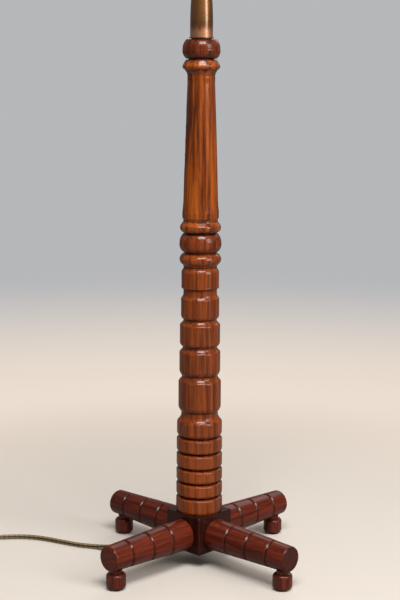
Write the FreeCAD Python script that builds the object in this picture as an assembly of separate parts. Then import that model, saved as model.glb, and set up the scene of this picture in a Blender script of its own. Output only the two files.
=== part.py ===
import FreeCAD, Part
import math
import os
from collections import namedtuple
from FreeCAD import Vector

# Candlestick floor lamp: a turned hardwood column on a square hub with four turned legs, a brass neck and
# tube above it, a screw lampholder with a turn switch, a bulb, a tapered shade, and a flat twin flex.
# Lengths are in millimetres. The floor is Z = 0 and the Z axis is the lamp's axis. The legs point along
# the diagonals, so one upright corner of the hub faces -Y, and the flex leaves the corner that faces -X.

os.makedirs("parts", exist_ok=True)

# Fits
glue_gap = 0.1            # radial room of a glued, pressed or screwed joint
running_gap = 0.3         # room between pieces that move on each other
end_room = 1.0            # room at the blind end of a bore

# Feet: short turned barrels under the legs, each with a felt pad
foot_inset = 12.8         # from a leg's end face to its foot's axis
foot_radius = 12.5
foot_base_radius = 9.8
foot_base_round = 5.0     # height of the rounding above the pad
foot_base_bow = 0.9
foot_barrel_height = 16.8
foot_top_radius = 9.6
foot_top_bow = 0.8
foot_height = 21.0
foot_neck_radius = 7.8
foot_neck_step = 0.6
foot_dowel_radius = 5.0
foot_dowel_length = 18.0
foot_seat_depth = 0.8     # flat that is cut into the leg's underside for the foot's neck
pad_radius = 8.0
pad_thickness = 1.5

# Legs: tapered turnings with three grooves each, tenoned into the hub
leg_axis_height = 41.7
leg_reach = 159.6         # from the lamp's axis to a leg's end face
leg_root_radius = 20.8
leg_tip_radius = 16.4
leg_root_round = 1.2
leg_tip_round = 2.6
leg_groove_places = (63.5, 96.6, 131.2)
leg_groove_half_width = 2.4
leg_groove_depth = 1.5
leg_groove_bow = 0.15
leg_tenon_radius = 9.0
leg_tenon_length = 14.0

# Hub: a square block, bored for the tenons, the centre tube and the flex, with a plate under its cavity
hub_width = 60.0
hub_bottom = 20.6
hub_height = 48.6
hub_edge = 1.0
hub_cavity_radius = 13.5
hub_cavity_depth = 25.4
cover_width = 54.0
cover_thickness = 2.8
cover_edge = 0.8
cover_screw_place = 21.5
cover_screw_radius = 1.5
cover_screw_length = 9.0
cover_screw_head_radius = 3.2
cover_screw_head_height = 1.8
cover_screw_slot = 0.9
cover_screw_slot_depth = 0.9

# Centre tube, which holds the wooden pieces together, with the washer and nut in the hub's cavity
tube_radius = 5.0
tube_bore_radius = 3.7
tube_below_nut = 1.0
tube_in_neck = 24.0
washer_radius = 11.0
washer_thickness = 2.0
nut_flats = 17.0
nut_height = 4.5

# Lower column: five discs with V grooves between them, six drums with necks between them, and a ring
column_foot_inset = 1.55
column_foot_round = 4.3
disc_heights = (19.2, 15.3, 15.0, 16.7, 16.8)
disc_gap = 3.9
disc_groove_depth = 4.3
disc_bottom_radius = 30.15
disc_top_radius = 29.6
disc_inset = 1.5
disc_lower_round = 2.6
disc_upper_round = 2.2
edge_bow = 0.45           # bow of the turned edges
cove_bow = 0.3            # hollow of the coves above the drums
Drum = namedtuple("Drum", "height radius lower_inset lower_rise upper_inset upper_drop")
Neck = namedtuple("Neck", "radius cove_height height")
cone_drum = Drum(19.4, 29.25, 1.7, 3.8, 1.25, 4.0)
cone_neck = Neck(23.8, 9.4, 12.6)
cone_cove_bow = 1.2
long_drum = Drum(40.6, 27.5, 2.9, 5.8, 1.3, 3.6)
long_neck = Neck(23.2, 4.2, 7.2)
middle_drum = Drum(31.1, 26.35, 2.4, 5.8, 1.15, 3.3)
middle_neck = Neck(22.2, 3.9, 7.1)
short_drum = Drum(28.3, 25.85, 1.85, 4.4, 1.05, 3.3)
short_neck = Neck(21.4, 3.9, 6.9)
slim_drum = Drum(27.0, 24.5, 1.9, 4.2, 0.9, 2.6)
slim_neck = Neck(21.5, 4.2, 12.1)
neck_lip_rise = 1.0       # short flare between a neck and the drum above it
top_drum = Drum(25.7, 24.0, 0.8, 2.7, 2.5, 5.1)
top_neck = Neck(21.5, 0.0, 2.8)
lower_ring_radius = 26.6
lower_ring_rim_radius = 22.2
lower_ring_rim_rise = 1.8
lower_ring_rise = 8.0
lower_ring_drop = 6.3
lower_ring_lower_bow = 1.3
lower_ring_upper_bow = 0.9

# Joints of the column: dark lines, each as high as the hidden spigot ring in it
lower_joint_gap = 2.2     # under the middle bead
middle_joint_gap = 1.6    # under the upper column
upper_joint_gap = 1.2     # under the top bead
brass_joint_gap = 1.2     # under the brass seat ring
joint_inset = 2.4         # from a piece's rim to the spigot ring

# Beads: flattened balls between the columns and under the brass
middle_bead_height = 23.4
middle_bead_radius = 26.6
middle_bead_rim_radius = 21.9
middle_bead_bows = (1.8, 1.3)
top_bead_height = 23.6
top_bead_radius = 23.5
top_bead_rim_radius = 18.7
top_bead_bows = (1.8, 1.4)
bead_widest = 0.49        # share of a bead's height at which it is widest

# Upper column: a ring, a tapered shaft, a cove and a second ring. Each step is its rise, the radius that it
# reaches and the bow of its line.
upper_column_rim_radius = 21.6
upper_ring_steps = (
    (2.2, 24.8, 0.3),
    (4.0, 25.9, 0.5),
    (3.4, 25.0, 0.4),
    (3.6, 22.3, 0.0),
    (1.6, 21.8, 0.0),
    (1.8, 21.9, 0.0),
    (3.8, 23.1, 0.5),
    (4.8, 23.2, 0.0),
)
shaft_steps = (
    (19.0, 21.75, -0.25),
    (142.0, 17.3, 0.3),
    (7.0, 17.4, -0.1),
)
crown_steps = (
    (8.0, 19.4, -0.9),
    (1.4, 20.0, 0.0),
    (2.2, 22.6, 0.2),
    (2.4, 23.6, 0.3),
    (3.6, 22.0, 0.2),
    (4.6, 19.2, 0.1),
)

# Brass: a thin seat ring, a neck that narrows like a candle flame, and the tube above it
seat_ring_radius = 15.3
seat_ring_thickness = 1.2
neck_radius = 14.2
neck_straight = 16.0
neck_taper_radius = 8.2
neck_taper_height = 72.0
neck_taper_bow = 1.5
neck_waist_radius = 7.0
neck_waist_height = 28.0
neck_waist_bow = -0.4
neck_lip_radius = 8.0
neck_lip_height = 4.0
neck_cavity_radius = 6.2
neck_cavity_height = 50.0
neck_cavity_taper = 20.0
stem_radius = 6.0
stem_bore_radius = 4.2
stem_seat_depth = 16.0
stem_height = 300.0       # from the neck's top to the lampholder's underside

# Lampholder with a turn switch
holder_cap_radius = 20.6
holder_cap_height = 34.0
holder_dome_height = 13.0
holder_dome_bow = 2.6
holder_cap_wall = 1.0
holder_boss_radius = 9.0
holder_boss_height = 3.0
stem_in_holder = 5.0
sleeve_wall = 1.3
sleeve_height = 42.0
sleeve_overlap = 10.0     # how far the sleeve reaches down into the cap
core_height = 12.0
core_bore_radius = 3.0
socket_radius = 13.5      # inside of the screw shell
socket_wall = 0.5
socket_height = 26.0
contact_radius = 3.5
contact_height = 2.6
contact_stem_length = 6.0
switch_block_radius = 12.0
switch_block_height = 12.0
switch_block_lift = 1.0   # above the end of the stem
switch_shaft_radius = 2.0
switch_shaft_inside = 6.0
switch_knob_radius = 6.5
switch_knob_length = 13.0
switch_knob_round = 2.0
switch_knob_skin = 2.0    # between the shaft's end and the knob's face
switch_knob_flutes = 12
switch_flute_radius = 0.9
switch_knob_stand = 2.0   # from the cap's side to the knob
knob_fit = 0.03
shade_ring_width = 6.0
shade_ring_thickness = 4.0
shade_ring_place = 12.0   # from the cap's rim to the lower ring's underside
shade_ring_notches = 16
shade_notch_radius = 1.1

# Bulb with a screw cap
bulb_cap_radius = 13.05
bulb_cap_root_radius = 12.4
bulb_cap_wall = 0.6
bulb_thread_pitch = 3.62
bulb_thread_turns = 5
bulb_thread_bow = 0.15
bulb_cap_collar = 3.0
bulb_insulator_height = 5.0
bulb_insulator_bow = 1.0
bulb_contact_radius = 4.6
bulb_contact_height = 1.2
bulb_radius = 30.0
bulb_height = 106.0       # from the contact to the top of the glass
bulb_glass_wall = 0.8
bulb_glass_sunk = 19.0    # how far the glass reaches down into the cap
bulb_neck_above_cap = 4.0
bulb_shoulder_bow = 3.0
bulb_neck_radius = 11.4
bulb_mount_base = 2.0
bulb_mount_flare = 6.0
bulb_mount_flare_bow = 1.5
bulb_mount_radius = 4.0
bulb_mount_height = 30.0
bulb_mount_tip = 4.0
bulb_mount_tip_bow = 0.4
filament_radius = 0.5
filament_width = 24.0
filament_rise = 6.0
filament_sunk = 1.0

# Shade: a stiff tapered skin on two wire rings, with a three-armed carrier on the lampholder
shade_bottom_radius = 190.0
shade_top_radius = 130.0
shade_height = 260.0
shade_skin_thickness = 1.2
shade_wire_radius = 1.8
shade_drop = 62.0         # from the carrier down to the shade's lower edge
carrier_overhang = 6.0    # how far its plate reaches past the shade rings
carrier_thickness = 1.6
carrier_arm_radius = 1.8
carrier_arms = 3
carrier_bearing = 30.0    # bearing of the first arm

# Flex: flat twin, whose width is the diameter here
cord_diameter = 6.4
cord_lift = 0.1           # keeps the flex off the floor plane
cord_bore_gap = 0.1
relief_barrel_radius = 4.4
relief_barrel_length = 10.0
relief_flange_radius = 6.2
relief_flange_thickness = 2.5
relief_flange_round = 0.8
relief_length = 24.0
relief_tip_radius = 4.2
relief_height = 27.0
relief_seat = 35.4        # from the lamp's axis to the flat cut on the hub's corner
inside_bend_radius = 10.0
coil_centre_x = -331.0
coil_middle_radius = 35.2
coil_turn_gap = 0.5
coil_layers = 4
coil_turns_per_layer = 2
coil_extra_turns = 0.25
coil_climb_turns = 0.5
coil_samples_per_turn = 72
plug_width = 35.0
plug_rear_width = 16.0
plug_length = 34.0
plug_shoulder = 20.0
plug_thickness = 13.6
plug_edge = 2.4
plug_boot_length = 20.0
plug_boot_radius = 5.6
plug_pin_radius = 2.0
plug_pin_tip = 1.0
plug_pin_spacing = 18.6
plug_pin_length = 19.0

foot_reach = leg_reach - foot_inset
cord_radius = cord_diameter / 2
cord_floor = cord_radius + cord_lift
relief_tip = relief_seat + relief_flange_thickness + relief_length
coil_start_x = coil_centre_x + cord_diameter
coil_start_y = 68.5

# Free flex from its strain relief to the coil, point by point
lead_route = [
    (-relief_tip, 0.0, relief_height),
    (-80.0, 0.0, relief_height),
    (-101.0, 7.5, 20.0),
    (-118.0, 22.0, 8.0),
    (-136.0, 35.0, cord_floor),
    (-161.0, 41.0, cord_floor),
    (-187.0, 54.0, cord_floor),
    (-213.0, 67.5, cord_floor),
    (-239.0, 74.5, cord_floor),
    (-267.0, 72.5, cord_floor),
    (-297.0, coil_start_y, cord_floor),
    (coil_start_x, coil_start_y, cord_floor),
]

# Tail of the flex from the coil to the plug: each step sideways, forwards and the height it comes down to
plug_height = plug_thickness / 2 + cord_lift
tail_steps = [
    (0.0, -16.0, None),
    (-1.5, -20.0, 15.0),
    (-1.5, -20.0, plug_height),
    (0.5, -17.0, plug_height),
]


def outline_edges(points):
    """Edges through (r, z) points. A third value bows the edge outwards, or inwards where negative."""
    edges = []
    previous = Vector(points[0][0], 0, points[0][1])
    for point in points[1:] + [points[0][:2]]:
        end = Vector(point[0], 0, point[1])
        run = end - previous
        bow = point[2] if len(point) > 2 else 0
        if bow:
            outwards = Vector(run.z, 0, -run.x).normalize()
            middle = (previous + end) * 0.5 + outwards * bow
            edges.append(Part.Arc(previous, middle, end).toShape())
        elif run.Length > 0:
            edges.append(Part.LineSegment(previous, end).toShape())
        previous = end
    return edges


def turned(points):
    """Solid turned about the Z axis from a closed (r, z) outline."""
    face = Part.Face(Part.Wire(outline_edges(points)))
    solid = face.revolve(Vector(0, 0, 0), Vector(0, 0, 1), 360)
    if solid.Volume < 0:
        solid.reverse()
    return solid


def bored(points, bore):
    """Turned solid whose outline runs up its outside, with a straight bore."""
    return turned([(bore, points[0][1])] + points + [(bore, points[-1][1])])


def ring(radius, bore, low, high):
    return bored([(radius, low), (radius, high)], bore)


def cylinder(radius, height, base=(0, 0, 0), direction=(0, 0, 1)):
    return Part.makeCylinder(radius, height, Vector(*base), Vector(*direction))


def quarter_bow(radius):
    """Bow of a quarter round."""
    return radius * (1 - math.cos(math.radians(45)))


def eighth_bow(radius):
    """Bow of an eighth of a circle."""
    return radius * (1 - math.cos(math.radians(22.5)))


def on_bearing(reach, bearing, height):
    angle = math.radians(bearing)
    return Vector(reach * math.cos(angle), reach * math.sin(angle), height)


def lifted(shape, height):
    shape.translate(Vector(0, 0, height))
    return shape


def turned_to(shape, bearing):
    shape.rotate(Vector(0, 0, 0), Vector(0, 0, 1), bearing)
    return shape


def save(name, *solids):
    shape = solids[0] if len(solids) == 1 else Part.makeCompound(solids)
    shape.exportStep(f"parts/{name}.step")


leg_bearings = {"front_left": 225, "front_right": 315, "back_left": 135, "back_right": 45}
hub_top = hub_bottom + hub_height
hub_half = hub_width / 2


# Legs

def leg_radius(place):
    """Radius of the tapered leg at a distance from the lamp's axis."""
    share = (place - hub_half) / (leg_reach - hub_half)
    return leg_root_radius + (leg_tip_radius - leg_root_radius) * share


foot_seat = leg_axis_height - leg_radius(foot_reach) + foot_seat_depth
leg_outline = [
    (0, hub_half - leg_tenon_length),
    (leg_tenon_radius, hub_half - leg_tenon_length),
    (leg_tenon_radius, hub_half),
    (leg_root_radius - leg_root_round, hub_half),
    (leg_radius(hub_half + leg_root_round), hub_half + leg_root_round, quarter_bow(leg_root_round)),
]
for place in leg_groove_places:
    low = place - leg_groove_half_width
    high = place + leg_groove_half_width
    leg_outline.append((leg_radius(low), low))
    leg_outline.append((leg_radius(place) - leg_groove_depth, place, -leg_groove_bow))
    leg_outline.append((leg_radius(high), high, -leg_groove_bow))
leg_outline += [
    (leg_radius(leg_reach - leg_tip_round), leg_reach - leg_tip_round),
    (leg_tip_radius - leg_tip_round, leg_reach, quarter_bow(leg_tip_round)),
    (0, leg_reach),
]


def leg(bearing):
    shape = turned(leg_outline)
    shape.rotate(Vector(0, 0, 0), Vector(0, 1, 0), 90)
    lifted(shape, leg_axis_height)
    dowel_top = foot_seat + foot_dowel_length + end_room
    shape = shape.cut(cylinder(foot_dowel_radius + glue_gap, dowel_top, (foot_reach, 0, 0)))
    shape = shape.cut(cylinder(foot_neck_radius + glue_gap, foot_seat, (foot_reach, 0, 0)))
    return turned_to(shape, bearing)


for name, bearing in leg_bearings.items():
    save("leg_" + name, leg(bearing))


# Feet and pads

foot_outline = [
    (0, pad_thickness),
    (foot_base_radius, pad_thickness),
    (foot_radius, pad_thickness + foot_base_round, foot_base_bow),
    (foot_radius, foot_barrel_height),
    (foot_top_radius, foot_height, foot_top_bow),
    (foot_neck_radius, foot_height + foot_neck_step),
    (foot_neck_radius, foot_seat),
    (foot_dowel_radius, foot_seat),
    (foot_dowel_radius, foot_seat + foot_dowel_length),
    (0, foot_seat + foot_dowel_length),
]
pads = []
for name, bearing in leg_bearings.items():
    foot = turned(foot_outline)
    foot.translate(on_bearing(foot_reach, bearing, 0))
    save("foot_" + name, foot)
    pads.append(cylinder(pad_radius, pad_thickness, on_bearing(foot_reach, bearing, 0)))
save("foot_pads", *pads)


# Hub, its cover plate and the cover's screws. They are made square to the axes and then turned by 45 degrees.

def bevelled_plate(width, thickness, edge, bottom):
    block = Part.makeBox(width, width, thickness, Vector(-width / 2, -width / 2, bottom))
    return block.makeChamfer(edge, block.Edges)


cavity_top = hub_bottom + hub_cavity_depth
tube_way = tube_radius + glue_gap
tenon_end = hub_half - leg_tenon_length - end_room
hub = bevelled_plate(hub_width, hub_height, hub_edge, hub_bottom)
hub = hub.cut(cylinder(tube_way, hub_height, (0, 0, hub_bottom)))
hub = hub.cut(cylinder(hub_cavity_radius, hub_cavity_depth, (0, 0, hub_bottom)))
for turn in range(4):
    along = on_bearing(1, 90 * turn, 0)
    start = on_bearing(tenon_end, 90 * turn, leg_axis_height)
    hub = hub.cut(cylinder(leg_tenon_radius + glue_gap, hub_half - tenon_end, start, along))

cover_bottom = hub_bottom - cover_thickness
cover = bevelled_plate(cover_width, cover_thickness, cover_edge, cover_bottom)
drill_radius = cover_screw_radius + glue_gap
sink_radius = cover_screw_head_radius + glue_gap
screws = []
for turn in range(4):
    place = on_bearing(cover_screw_place, 90 * turn, cover_bottom)
    head = Part.makeCone(cover_screw_head_radius, cover_screw_radius, cover_screw_head_height, place)
    screw = head.fuse(cylinder(cover_screw_radius, cover_screw_length, place)).removeSplitter()
    slot_corner = place - Vector(cover_screw_head_radius, cover_screw_slot / 2, 0)
    slot = Part.makeBox(2 * cover_screw_head_radius, cover_screw_slot, cover_screw_slot_depth, slot_corner)
    screws.append(turned_to(screw.cut(slot), 45))
    sink = Part.makeCone(sink_radius, drill_radius, cover_screw_head_height, place)
    drill = cylinder(drill_radius, cover_screw_length + end_room, place)
    cover = cover.cut(sink).cut(drill)
    hub = hub.cut(drill)
hub = turned_to(hub, 45)
outwards = (-1, 0, 0)
hub = hub.cut(cylinder(relief_barrel_radius + glue_gap, hub_width, (0, 0, relief_height), outwards))
spot_radius = relief_flange_radius + glue_gap
hub = hub.cut(cylinder(spot_radius, hub_width, (-relief_seat, 0, relief_height), outwards))
save("hub_block", hub)
save("hub_cover", turned_to(cover, 45))
save("hub_cover_screws", *screws)


# Column. The pieces stand on each other, and the centre tube runs through them.

def stepped(points, steps):
    """Points with further steps on top, each given as its rise, radius and bow."""
    for rise, radius, bow in steps:
        points = points + [(radius, points[-1][1] + rise, bow)]
    return points


def spigot_steps(rim_radius, gap):
    """Hidden ring on top of a piece, which holds the next piece off by the joint's dark line."""
    return ((0, rim_radius - joint_inset, 0), (gap, rim_radius - joint_inset, 0))


def disc_steps(index):
    """One disc, with half of the groove below it and half of the groove above it."""
    height = disc_heights[index]
    share = index / (len(disc_heights) - 1)
    radius = disc_bottom_radius + (disc_top_radius - disc_bottom_radius) * share
    groove = (disc_gap / 2, radius - disc_groove_depth, 0)
    if index == 0:
        lower_edge = ((column_foot_round, radius, edge_bow),)
        straight = height - column_foot_round - disc_upper_round
    else:
        lower_edge = ((disc_gap / 2, radius - disc_inset, 0), (disc_lower_round, radius, edge_bow))
        straight = height - disc_lower_round - disc_upper_round
    upper_edge = ((straight, radius, 0), (disc_upper_round, radius - disc_inset, edge_bow), groove)
    return lower_edge + upper_edge


def drum_steps(drum, rise):
    """One drum, whose lower edge is a given rise above what is below it."""
    straight = drum.height - drum.lower_rise - drum.upper_drop
    return (
        (rise, drum.radius - drum.lower_inset, 0),
        (drum.lower_rise, drum.radius, edge_bow),
        (straight, drum.radius, 0),
        (drum.upper_drop, drum.radius - drum.upper_inset, edge_bow),
    )


def neck_steps(neck, cove):
    """Cove and straight of a neck, up to the short flare under the next drum."""
    return (
        (neck.cove_height, neck.radius, -cove),
        (neck.height - neck.cove_height - neck_lip_rise, neck.radius, 0),
    )


lower_outline = [(disc_bottom_radius - column_foot_inset, 0)]
for index in range(len(disc_heights)):
    lower_outline = stepped(lower_outline, disc_steps(index))
lower_outline = stepped(lower_outline, drum_steps(cone_drum, disc_gap / 2))
lower_outline = stepped(lower_outline, neck_steps(cone_neck, cone_cove_bow))
necked_drums = (
    (long_drum, long_neck),
    (middle_drum, middle_neck),
    (short_drum, short_neck),
    (slim_drum, slim_neck),
)
for drum, neck in necked_drums:
    lower_outline = stepped(lower_outline, drum_steps(drum, neck_lip_rise))
    lower_outline = stepped(lower_outline, neck_steps(neck, cove_bow))
lower_outline = stepped(lower_outline, drum_steps(top_drum, neck_lip_rise))
lower_outline = stepped(lower_outline, (
    (top_neck.height, top_neck.radius, 0),
    (lower_ring_rim_rise, lower_ring_rim_radius, 0),
    (lower_ring_rise, lower_ring_radius, lower_ring_lower_bow),
    (lower_ring_drop, lower_ring_rim_radius, lower_ring_upper_bow),
))
lower_outline = stepped(lower_outline, spigot_steps(lower_ring_rim_radius, lower_joint_gap))


def bead_outline(height, radius, rim_radius, bows):
    widest = bead_widest * height
    steps = ((widest, radius, bows[0]), (height - widest, rim_radius, bows[1]))
    return stepped([(rim_radius, 0)], steps)


middle_outline = bead_outline(
    middle_bead_height, middle_bead_radius, middle_bead_rim_radius, middle_bead_bows)
middle_outline = stepped(middle_outline, spigot_steps(upper_column_rim_radius, middle_joint_gap))
upper_steps = upper_ring_steps + shaft_steps + crown_steps
upper_outline = stepped([(upper_column_rim_radius, 0)], upper_steps)
upper_outline = stepped(upper_outline, spigot_steps(top_bead_rim_radius, upper_joint_gap))
top_outline = bead_outline(top_bead_height, top_bead_radius, top_bead_rim_radius, top_bead_bows)
top_outline = stepped(top_outline, spigot_steps(seat_ring_radius, brass_joint_gap))

column_pieces = {
    "column_lower": lower_outline,
    "column_middle_bead": middle_outline,
    "column_upper": upper_outline,
    "column_top_bead": top_outline,
}
column_top = hub_top
for name, outline in column_pieces.items():
    save(name, lifted(bored(outline, tube_way), column_top))
    column_top += outline[-1][1]


# Centre tube, washer and nut

nut_top = cavity_top - washer_thickness
nut_bottom = nut_top - nut_height
tube_bottom = nut_bottom - tube_below_nut
neck_seat = column_top + seat_ring_thickness
tube_top = neck_seat + tube_in_neck
save("centre_tube", ring(tube_radius, tube_bore_radius, tube_bottom, tube_top))
save("hub_washer", ring(washer_radius, tube_way, nut_top, cavity_top))
nut_corner = nut_flats / 2 / math.cos(math.radians(30))
nut_corners = [on_bearing(nut_corner, 60 * corner, nut_bottom) for corner in range(7)]
nut = Part.Face(Part.makePolygon(nut_corners)).extrude(Vector(0, 0, nut_height))
save("hub_nut", nut.cut(cylinder(tube_way, nut_height, (0, 0, nut_bottom))))


# Brass seat ring, neck and stem

save("neck_seat_ring", ring(seat_ring_radius, tube_way, column_top, neck_seat))
neck_outline = stepped([(neck_radius, neck_seat)], (
    (neck_straight, neck_radius, 0),
    (neck_taper_height, neck_taper_radius, neck_taper_bow),
    (neck_waist_height, neck_waist_radius, neck_waist_bow),
    (0, neck_lip_radius, 0),
    (neck_lip_height, neck_lip_radius, 0),
))
neck_top = neck_outline[-1][1]
stem_seat = neck_top - stem_seat_depth
stem_way = stem_radius + glue_gap
cavity_low = tube_top + end_room
cavity_high = cavity_low + neck_cavity_height
neck_outline += [
    (stem_way, neck_top),
    (stem_way, stem_seat),
    (stem_bore_radius, stem_seat),
    (stem_bore_radius, cavity_high),
    (neck_cavity_radius, cavity_high - neck_cavity_taper),
    (neck_cavity_radius, cavity_low),
    (tube_way, cavity_low),
    (tube_way, neck_seat),
]
save("brass_neck", turned(neck_outline))
holder_bottom = neck_top + stem_height
stem_top = holder_bottom + stem_in_holder
save("stem_tube", ring(stem_radius, stem_bore_radius, stem_seat, stem_top))


# Lampholder

cap_rim = holder_bottom + holder_cap_height
cap_inside = holder_cap_radius - holder_cap_wall
boss_top = holder_bottom + holder_boss_height
dome_top = boss_top + holder_dome_height
holder_cap = turned([
    (stem_way, holder_bottom),
    (holder_boss_radius, holder_bottom),
    (holder_boss_radius, boss_top),
    (holder_cap_radius, dome_top, holder_dome_bow),
    (holder_cap_radius, cap_rim),
    (cap_inside, cap_rim),
    (cap_inside, dome_top),
    (holder_boss_radius, boss_top + holder_cap_wall, -holder_dome_bow),
    (stem_way, boss_top + holder_cap_wall),
])
switch_bottom = stem_top + switch_block_lift
switch_axis = switch_bottom + switch_block_height / 2
shaft_way = switch_shaft_radius + running_gap
sideways = (1, 0, 0)
holder_cap = holder_cap.cut(cylinder(shaft_way, 2 * holder_cap_radius, (0, 0, switch_axis), sideways))
save("holder_cap", holder_cap)

sleeve_bottom = cap_rim - sleeve_overlap
sleeve_radius = cap_inside - glue_gap
sleeve_inside = sleeve_radius - sleeve_wall
save("holder_sleeve", ring(sleeve_radius, sleeve_inside, sleeve_bottom, sleeve_bottom + sleeve_height))
core_top = sleeve_bottom + core_height
save("holder_core", ring(sleeve_inside - glue_gap, core_bore_radius, sleeve_bottom, core_top))
save("socket_shell", ring(socket_radius + socket_wall, socket_radius, core_top, core_top + socket_height))
contact_stem = core_bore_radius - glue_gap
contact_top = core_top + contact_height
save("socket_contact", turned([
    (0, core_top - contact_stem_length),
    (contact_stem, core_top - contact_stem_length),
    (contact_stem, core_top),
    (contact_radius, core_top),
    (contact_radius, contact_top),
    (0, contact_top),
]))

# Turn switch: a block in the cap, and a shaft with a fluted knob outside

shaft_start = switch_block_radius - switch_shaft_inside
switch_block = cylinder(switch_block_radius, switch_block_height, (0, 0, switch_bottom))
shaft_bore = cylinder(shaft_way, switch_block_radius, (shaft_start - running_gap, 0, switch_axis), sideways)
save("switch_block", switch_block.cut(shaft_bore))
knob_start = holder_cap_radius + switch_knob_stand
knob_end = knob_start + switch_knob_length
shaft_end = knob_end - switch_knob_skin
shaft_place = (shaft_start, 0, switch_axis)
save("switch_shaft", cylinder(switch_shaft_radius, shaft_end - shaft_start, shaft_place, sideways))
knob_face_radius = switch_knob_radius - switch_knob_round
knob = turned([
    (0, knob_start),
    (knob_face_radius, knob_start),
    (switch_knob_radius, knob_start + switch_knob_round, quarter_bow(switch_knob_round)),
    (switch_knob_radius, knob_end - switch_knob_round),
    (knob_face_radius, knob_end, quarter_bow(switch_knob_round)),
    (0, knob_end),
])
for flute in range(switch_knob_flutes):
    place = on_bearing(switch_knob_radius, 360 * flute / switch_knob_flutes, knob_start)
    knob = knob.cut(cylinder(switch_flute_radius, switch_knob_length, place))
knob = knob.cut(cylinder(switch_shaft_radius + knob_fit, shaft_end - knob_start, (0, 0, knob_start)))
knob.rotate(Vector(0, 0, 0), Vector(0, 1, 0), 90)
save("switch_knob", lifted(knob, switch_axis))

# Shade rings: two notched nuts on the sleeve, which hold the shade's carrier between them

lower_ring_bottom = cap_rim + shade_ring_place
carrier_bottom = lower_ring_bottom + shade_ring_thickness + running_gap
carrier_top = carrier_bottom + carrier_thickness
shade_ring_radius = sleeve_radius + shade_ring_width


def shade_ring(bottom):
    shape = ring(shade_ring_radius, sleeve_radius + glue_gap, bottom, bottom + shade_ring_thickness)
    for notch in range(shade_ring_notches):
        place = on_bearing(shade_ring_radius, 360 * notch / shade_ring_notches, bottom)
        shape = shape.cut(cylinder(shade_notch_radius, shade_ring_thickness, place))
    return shape


save("shade_ring_lower", shade_ring(lower_ring_bottom))
save("shade_ring_upper", shade_ring(carrier_top + running_gap))


# Bulb, screwed home so that its contact stands just off the lampholder's

bulb_bottom = contact_top + running_gap
insulator_bottom = bulb_bottom + bulb_contact_height
thread_bottom = insulator_bottom + bulb_insulator_height
cap_outline = [(bulb_cap_root_radius, thread_bottom)]
for turn in range(bulb_thread_turns):
    cap_outline = stepped(cap_outline, (
        (bulb_thread_pitch / 2, bulb_cap_radius, bulb_thread_bow),
        (bulb_thread_pitch / 2, bulb_cap_root_radius, bulb_thread_bow),
    ))
cap_outline = stepped(cap_outline, ((bulb_cap_collar, bulb_cap_radius, -bulb_thread_bow),))
cap_top = cap_outline[-1][1]
save("bulb_cap", bored(cap_outline, bulb_cap_root_radius - bulb_cap_wall))
save("bulb_insulator", turned([
    (0, insulator_bottom),
    (bulb_contact_radius, insulator_bottom),
    (bulb_cap_root_radius, thread_bottom, bulb_insulator_bow),
    (0, thread_bottom),
]))
save("bulb_contact", turned([
    (0, bulb_bottom),
    (bulb_contact_radius - bulb_contact_height, bulb_bottom),
    (bulb_contact_radius, insulator_bottom, quarter_bow(bulb_contact_height)),
    (0, insulator_bottom),
]))

globe_height = bulb_bottom + bulb_height - bulb_radius
glass_bottom = cap_top - bulb_glass_sunk
shoulder_height = cap_top + bulb_neck_above_cap


def glass_body(inset):
    """Solid as large as the outside of the glass, or as its inside where an inset is given."""
    crown = bulb_radius - inset
    cheek = crown * math.sin(math.radians(45))
    return turned([
        (0, glass_bottom),
        (bulb_neck_radius - inset, glass_bottom),
        (bulb_neck_radius - inset, shoulder_height),
        (crown, globe_height, bulb_shoulder_bow),
        (cheek, globe_height + cheek, eighth_bow(crown)),
        (0, globe_height + crown, eighth_bow(crown)),
    ])


save("bulb_glass", glass_body(0).cut(glass_body(bulb_glass_wall)))
mount_base_radius = bulb_neck_radius - bulb_glass_wall - glue_gap
mount_flare_top = glass_bottom + bulb_mount_base + bulb_mount_flare
mount_top = shoulder_height + bulb_mount_height
save("bulb_mount", turned([
    (0, glass_bottom),
    (mount_base_radius, glass_bottom),
    (mount_base_radius, glass_bottom + bulb_mount_base),
    (bulb_mount_radius, mount_flare_top, -bulb_mount_flare_bow),
    (bulb_mount_radius, mount_top - bulb_mount_tip),
    (bulb_mount_radius / 2, mount_top, bulb_mount_tip_bow),
    (0, mount_top),
]))


# Wires and flex: straight runs joined by tangent arcs

def rounded_path(points, label):
    """Wire through hand-placed points. Each arc is as large as its two runs allow."""
    corners = [Vector(*point) for point in points]
    edges = []
    radii = []
    here = corners[0]
    for before, corner, after in zip(corners, corners[1:], corners[2:]):
        arriving = (corner - before).normalize()
        leaving = (after - corner).normalize()
        half_turn = arriving.getAngle(leaving) / 2
        reach = 0.45 * min((corner - before).Length, (after - corner).Length)
        radius = reach / math.tan(half_turn)
        inwards = (leaving - arriving).normalize()
        start = corner - arriving * reach
        middle = corner + inwards * radius * (1 / math.cos(half_turn) - 1)
        end = corner + leaving * reach
        edges.append(Part.LineSegment(here, start).toShape())
        edges.append(Part.Arc(start, middle, end).toShape())
        radii.append(radius)
        here = end
    edges.append(Part.LineSegment(here, corners[-1]).toShape())
    print(label, "bend radii:", " ".join(f"{radius:.1f}" for radius in radii))
    return Part.Wire(edges)


def tube_along(path, radius, label):
    """Round tube along a wire, with its volume set against its section times its length."""
    first = path.Edges[0]
    start = first.valueAt(first.FirstParameter)
    circle = Part.Wire(Part.makeCircle(radius, start, first.tangentAt(first.FirstParameter)))
    solid = path.makePipeShell([circle], True).Solids[0]
    share = abs(solid.Volume) / (math.pi * radius ** 2 * path.Length)
    print(f"{label}: length {path.Length:.1f}, volume / (section x length) {share:.4f}")
    return solid


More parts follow.
